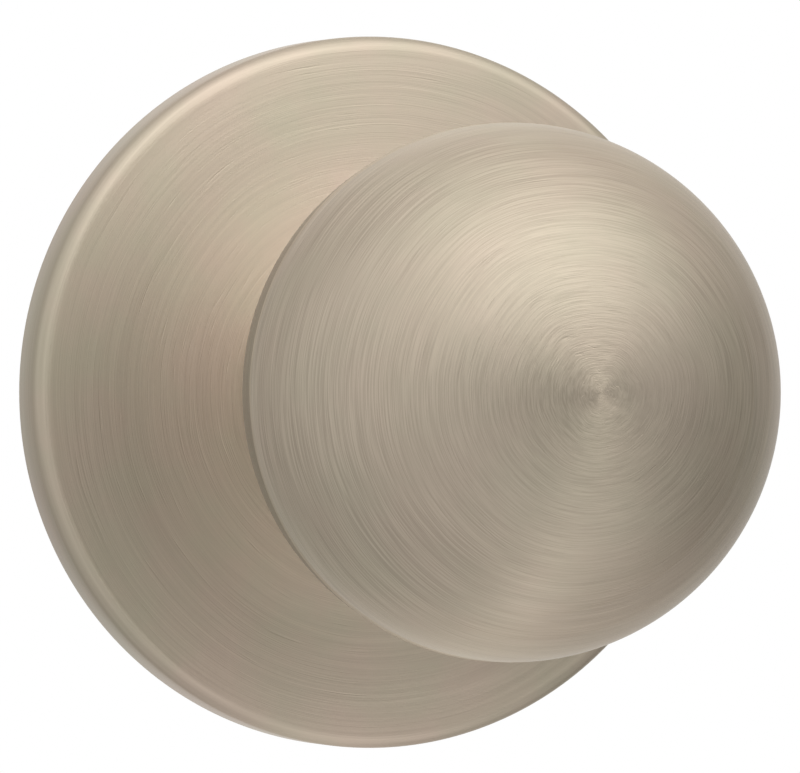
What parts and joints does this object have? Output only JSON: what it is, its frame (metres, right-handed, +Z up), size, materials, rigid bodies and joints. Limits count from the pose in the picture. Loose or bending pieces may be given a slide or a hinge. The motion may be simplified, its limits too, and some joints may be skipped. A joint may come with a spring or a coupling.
{
  "type": "door knob",
  "caption": "Ball knob that turns on a plain round rose, with a spring return, a square spindle and threaded posts for through screws.",
  "frame": {"origin": "centre of the rose on the door's face", "axes": "+Y into the door along the knob's axis, so the ball stands out along -Y; +X to the right and +Z up for someone who faces the door"},
  "size_m": [0.067, 0.1197, 0.067],
  "materials": {
    "satin_nickel": "satin nickel plate, brushed in circles",
    "zinc_plated": "bright zinc plate on pressed or turned steel",
    "die_cast": "bare die-cast zinc alloy",
    "bright_steel": "bright drawn steel",
    "spring_steel": "dark oiled spring steel",
    "nylon": "natural moulded nylon"
  },
  "bodies": {
    "chassis": {"rose": "satin_nickel", "neck_ring": "nylon", "mounting_plate": "zinc_plated", "screw_post_left": "zinc_plated", "screw_post_right": "zinc_plated", "spring_housing": "die_cast", "housing_rivets": "bright_steel", "knob_bearing": "nylon", "thrust_washer": "bright_steel", "return_spring": "spring_steel"},
    "knob": {"knob_front_shell": "satin_nickel", "knob_back_shell": "satin_nickel", "shank_plate": "zinc_plated", "neck_bush": "die_cast", "knob_sleeve": "zinc_plated", "spindle_socket": "die_cast", "spindle": "bright_steel", "spindle_pin": "bright_steel", "spring_driver": "zinc_plated", "wave_washer": "spring_steel", "back_washer": "bright_steel", "retaining_ring": "spring_steel"}
  },
  "joints": [
    {"name": "knob_turn", "type": "hinge", "parent": "chassis", "child": "knob", "pos_m": [0, 0, 0], "axis": [0, -1, 0], "range_deg": [-60, 60], "stiffness_Nm_per_rad": 0.25, "deforming": ["return_spring"]}
  ]
}
